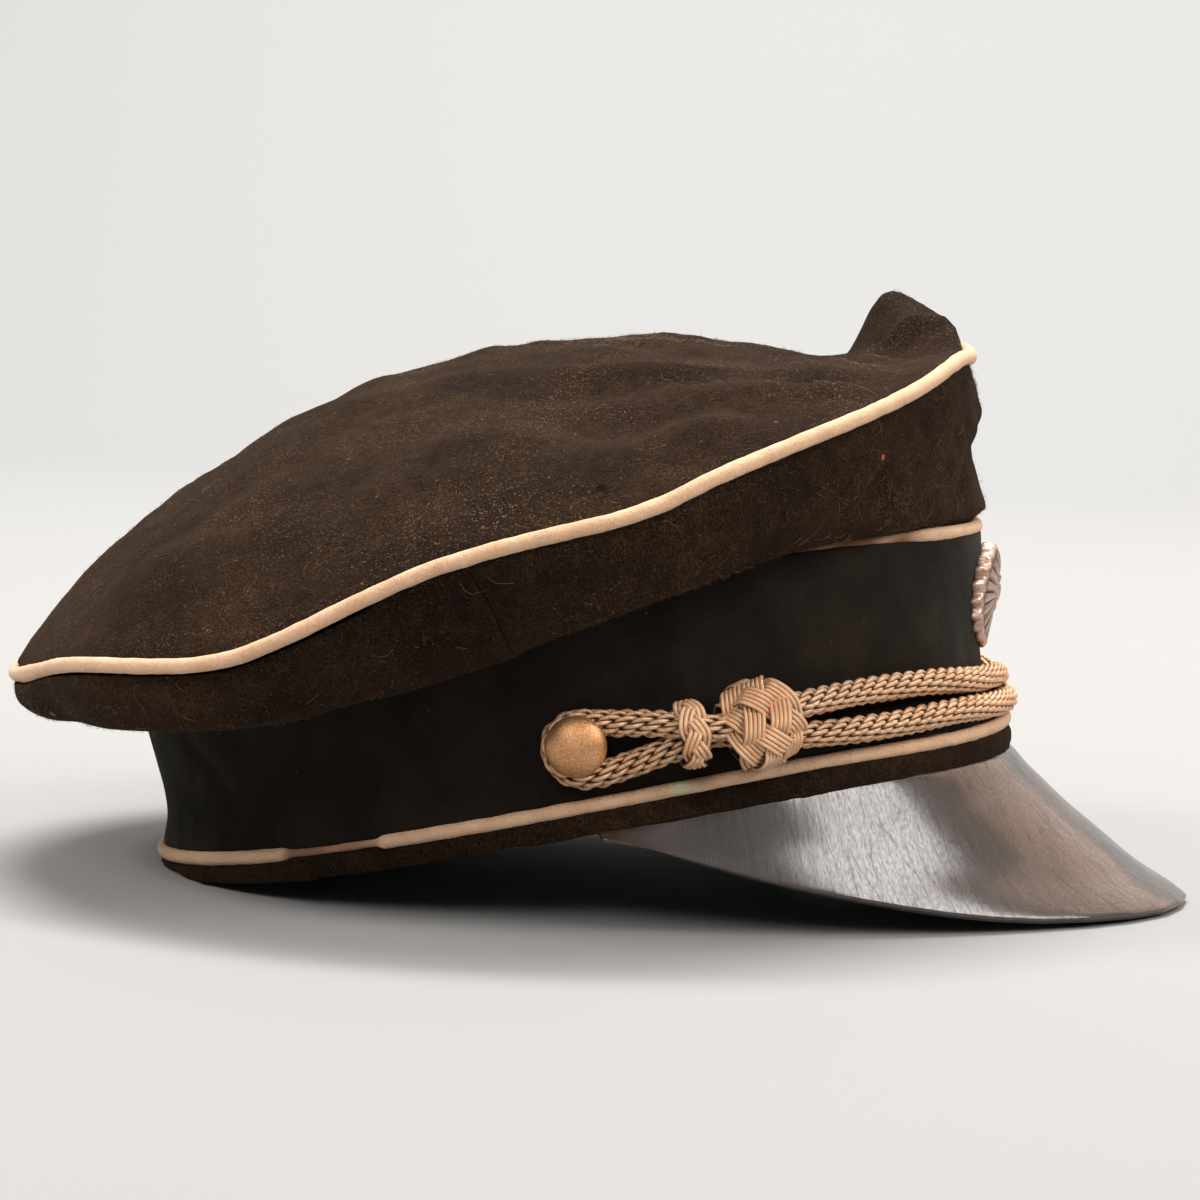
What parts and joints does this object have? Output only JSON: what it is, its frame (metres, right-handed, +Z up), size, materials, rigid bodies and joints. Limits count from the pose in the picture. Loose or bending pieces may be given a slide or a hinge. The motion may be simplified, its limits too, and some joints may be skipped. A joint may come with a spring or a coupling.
{
  "type": "crusher cap",
  "caption": "Soft peaked uniform cap with a slumped cloth crown, piped edges, velvet band, lacquered leather visor, and a double twisted chin cord with woven knots on domed side buttons.",
  "frame": {"origin": "middle of the outline's bounding box, on the surface the cap rests on", "axes": "+X towards the visor, +Y towards the wearer's left, +Z up"},
  "size_m": [0.2832, 0.2372, 0.1414],
  "materials": {
    "wool": "napped wool cloth, worn, with lint",
    "velvet": "dark velvet, slightly greenish at the front",
    "piping": "cream felt piping, soiled and worn through in places",
    "visor_leather": "dark lacquered leather, satin, finely scratched",
    "cord": "tarnished metallic thread, dark in the gaps",
    "button_metal": "worn, pebbled, dull",
    "badge_metal": "tarnished, dull"
  },
  "bodies": {
    "root": {"crown_top": "wool", "crown_side_front_left": "wool", "crown_side_rear_left": "wool", "crown_side_rear_right": "wool", "crown_side_front_right": "wool", "crown_piping": "piping", "band_piping_upper": "piping", "band_piping_lower": "piping", "band": "velvet", "bottom_welt": "wool", "visor": "visor_leather", "chin_cord": "cord", "small_knot_right": "cord", "small_knot_left": "cord", "large_knot_right": "cord", "large_knot_left": "cord", "button_right": "button_metal", "button_left": "button_metal", "front_badge": "badge_metal"}
  },
  "joints": []
}
